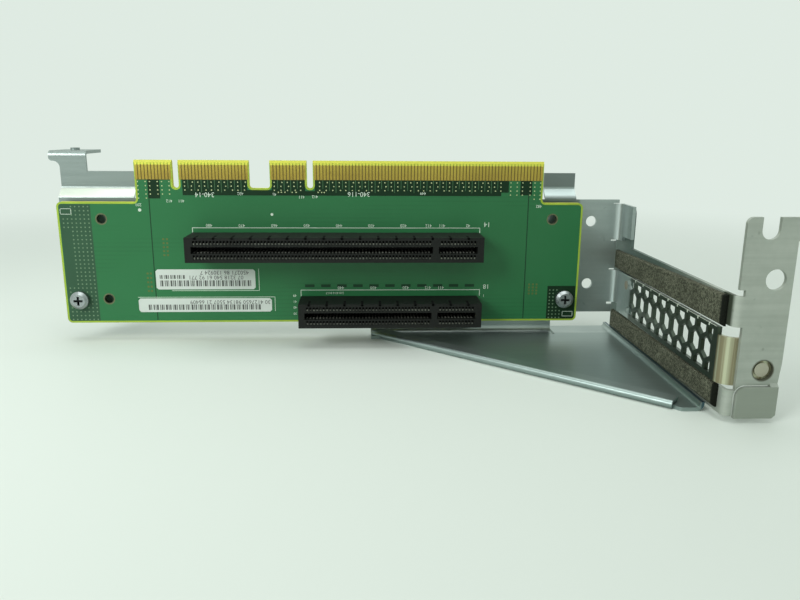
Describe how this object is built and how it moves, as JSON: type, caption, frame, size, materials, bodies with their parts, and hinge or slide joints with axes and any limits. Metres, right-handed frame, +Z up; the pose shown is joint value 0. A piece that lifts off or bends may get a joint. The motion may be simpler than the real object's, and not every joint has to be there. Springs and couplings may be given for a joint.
{
  "type": "pcie riser card",
  "caption": "Server riser board with a long and a short card slot, two gold edge tongues and a folded steel bracket carrying a vented wall and slot plate",
  "frame": {"origin": "middle of the object's box, on the surface it rests on", "axes": "+X along the board towards the input/output wall, -Y out of the slots, +Z up"},
  "size_m": [0.1956, 0.092, 0.0597],
  "materials": {
    "board": "satin",
    "gold": "satin",
    "housing": "matte",
    "sheet": "satin",
    "fastener": "satin",
    "gasket": "matte",
    "label": "matte"
  },
  "bodies": {
    "root": {"riser_board": "board", "fingers_x16_front": "gold", "fingers_x16_back": "gold", "fingers_x4_front": "gold", "fingers_x4_back": "gold", "slot_x16": "housing", "slot_x8": "housing", "slot_x16_contacts_upper": "gold", "slot_x16_contacts_lower": "gold", "slot_x8_contacts_upper": "gold", "slot_x8_contacts_lower": "gold", "board_screw_left": "fastener", "board_screw_right": "fastener", "standoff_left": "fastener", "standoff_right": "fastener", "main_bracket": "sheet", "io_wall": "sheet", "end_plate_rivet": "fastener", "upper_gasket": "gasket", "lower_gasket": "gasket", "label_part": "label", "label_serial": "label"}
  },
  "joints": []
}
